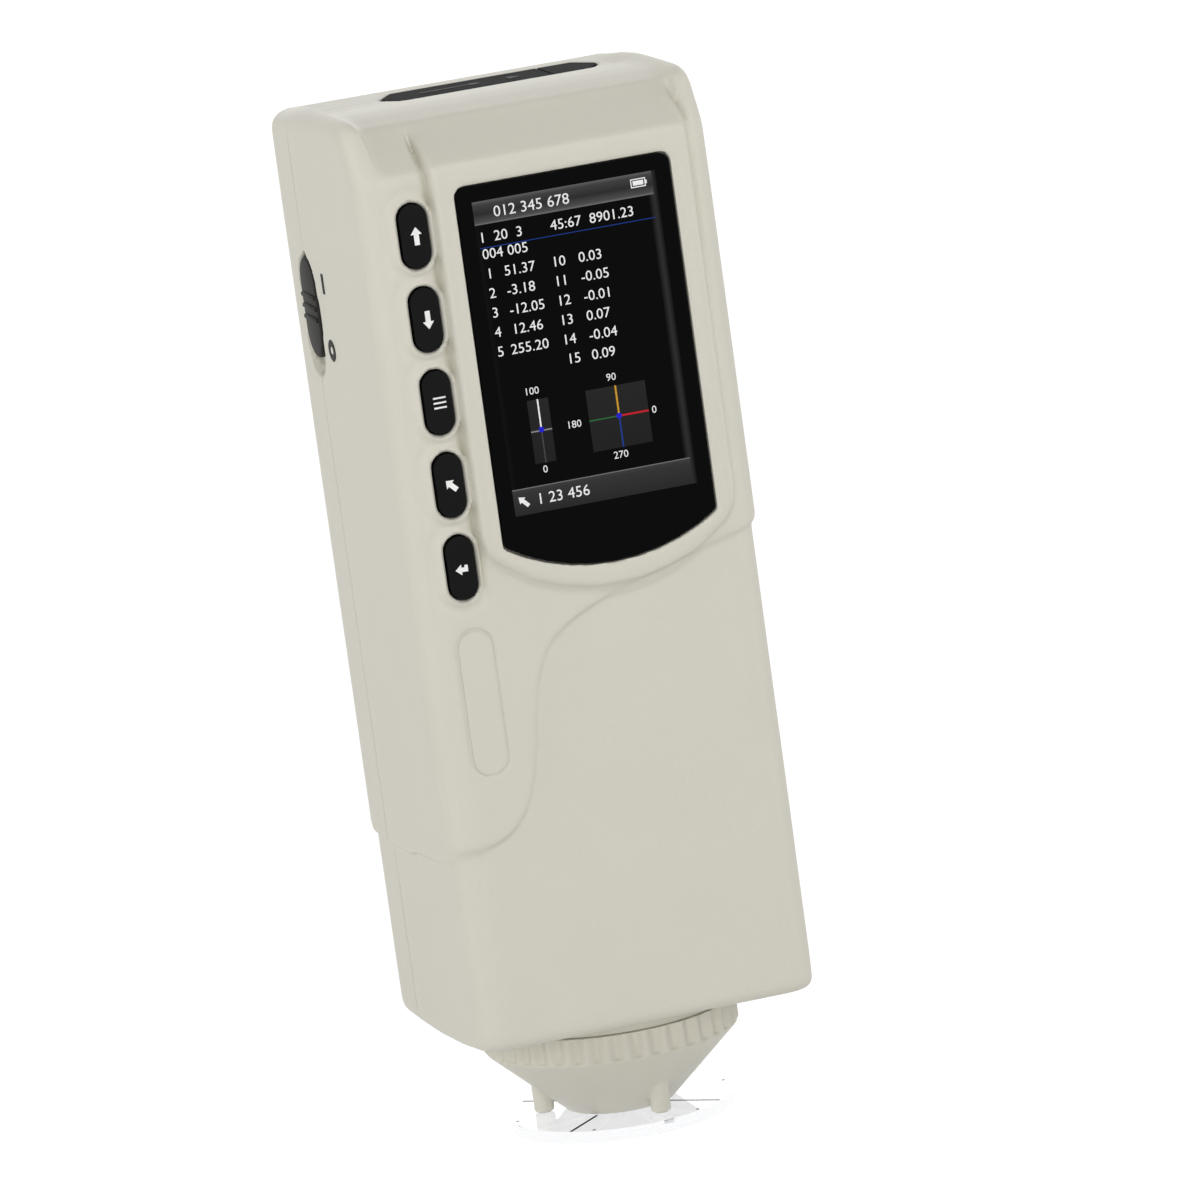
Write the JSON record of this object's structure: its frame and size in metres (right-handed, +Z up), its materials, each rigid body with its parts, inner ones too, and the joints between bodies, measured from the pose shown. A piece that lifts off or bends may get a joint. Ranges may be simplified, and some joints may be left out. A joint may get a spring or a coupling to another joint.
{
  "type": "hand-held colorimeter",
  "caption": "Hand-held colorimeter with a display, a column of keys and a conical measuring head on a clear locating plate.",
  "frame": {"origin": "centre of the bounding box in X and Y, at the locating plate's underside", "axes": "+Z up the long axis, the display faces -Y, +X to the viewer's right"},
  "size_m": [0.0716, 0.072, 0.2069],
  "materials": {
    "housing": "fine textured moulding",
    "black_plastic": "satin moulding",
    "switch_grey": "satin moulding",
    "rubber": "matt",
    "window": "polished, printed black behind",
    "foam": "open foam",
    "lcd": "polished",
    "white_plastic": "diffuse white",
    "steel": "plated",
    "nickel": "plated",
    "cell": "shrink wrapped",
    "board": "solder resist",
    "optic_black": "matt anti-glare",
    "clear": "polished clear"
  },
  "bodies": {
    "casing": {"front_shell": "housing", "rear_shell": "housing", "display_window": "window", "display_gasket": "foam", "lcd_frame": "steel", "lcd_panel": "lcd", "lcd_backlight": "white_plastic", "key_switch_1": "steel", "key_switch_2": "steel", "key_switch_3": "steel", "key_switch_4": "steel", "key_switch_5": "steel", "key_switch_6": "steel", "main_board": "board", "board_screw_1": "steel", "board_screw_2": "steel", "board_screw_3": "steel", "board_screw_4": "steel", "buzzer": "black_plastic", "power_switch_body": "steel", "port_block": "black_plastic", "usb_socket": "steel", "power_jack": "steel", "port_board": "board", "case_screw_1": "steel", "case_screw_2": "steel", "case_screw_3": "steel", "case_screw_4": "steel", "battery_tray": "black_plastic", "battery_cell": "cell", "battery_contact_top": "nickel", "battery_contact_foot": "nickel", "optical_housing": "optic_black", "housing_screw_1": "steel", "housing_screw_2": "steel", "housing_screw_3": "steel", "housing_screw_4": "steel", "integrating_sphere": "white_plastic", "aperture_tube": "optic_black", "aperture_glass": "clear", "led_board": "board", "sensor_tube": "optic_black", "sensor_lens": "clear", "sensor_board": "board"},
    "battery_cover": {"battery_cover": "housing"},
    "key_up": {"key_up": "black_plastic"},
    "key_down": {"key_down": "black_plastic"},
    "key_menu": {"key_menu": "black_plastic"},
    "key_back": {"key_back": "black_plastic"},
    "key_enter": {"key_enter": "black_plastic"},
    "measure_key": {"measure_key": "housing"},
    "power_slider": {"power_slider": "switch_grey"},
    "usb_cover": {"usb_cover": "rubber"},
    "power_cover": {"power_cover": "rubber"},
    "measuring_head": {"measuring_cap": "housing", "locating_plate": "clear"}
  },
  "joints": [
    {"name": "key_up_press", "type": "slide", "parent": "casing", "child": "key_up", "axis": [0, 1, 0], "range_m": [0, 0.0006], "stiffness_N_per_m": 2500},
    {"name": "key_down_press", "type": "slide", "parent": "casing", "child": "key_down", "axis": [0, 1, 0], "range_m": [0, 0.0006], "stiffness_N_per_m": 2500},
    {"name": "key_menu_press", "type": "slide", "parent": "casing", "child": "key_menu", "axis": [0, 1, 0], "range_m": [0, 0.0006], "stiffness_N_per_m": 2500},
    {"name": "key_back_press", "type": "slide", "parent": "casing", "child": "key_back", "axis": [0, 1, 0], "range_m": [0, 0.0006], "stiffness_N_per_m": 2500},
    {"name": "key_enter_press", "type": "slide", "parent": "casing", "child": "key_enter", "axis": [0, 1, 0], "range_m": [0, 0.0006], "stiffness_N_per_m": 2500},
    {"name": "measure_key_press", "type": "slide", "parent": "casing", "child": "measure_key", "axis": [0, 1, 0], "range_m": [0, 0.0008], "stiffness_N_per_m": 2500},
    {"name": "power_slide", "type": "slide", "parent": "casing", "child": "power_slider", "axis": [0, 0, -1], "range_m": [0, 0.0028]},
    {"name": "usb_cover_flip", "type": "hinge", "parent": "casing", "child": "usb_cover", "pos_m": [0.01725, 0.01405, 0.2044], "axis": [0, 1, 0], "range_deg": [0, 85]},
    {"name": "power_cover_flip", "type": "hinge", "parent": "casing", "child": "power_cover", "pos_m": [0.01755, 0.01405, 0.2044], "axis": [0, -1, 0], "range_deg": [0, 85]},
    {"name": "battery_cover_lift", "type": "slide", "parent": "casing", "child": "battery_cover", "axis": [0, 1, 0], "range_m": [0, 0.015]},
    {"name": "measuring_head_twist", "type": "hinge", "parent": "casing", "child": "measuring_head", "pos_m": [0, 0, 0.0205], "axis": [0, 0, -1], "range_deg": [0, 30]}
  ]
}
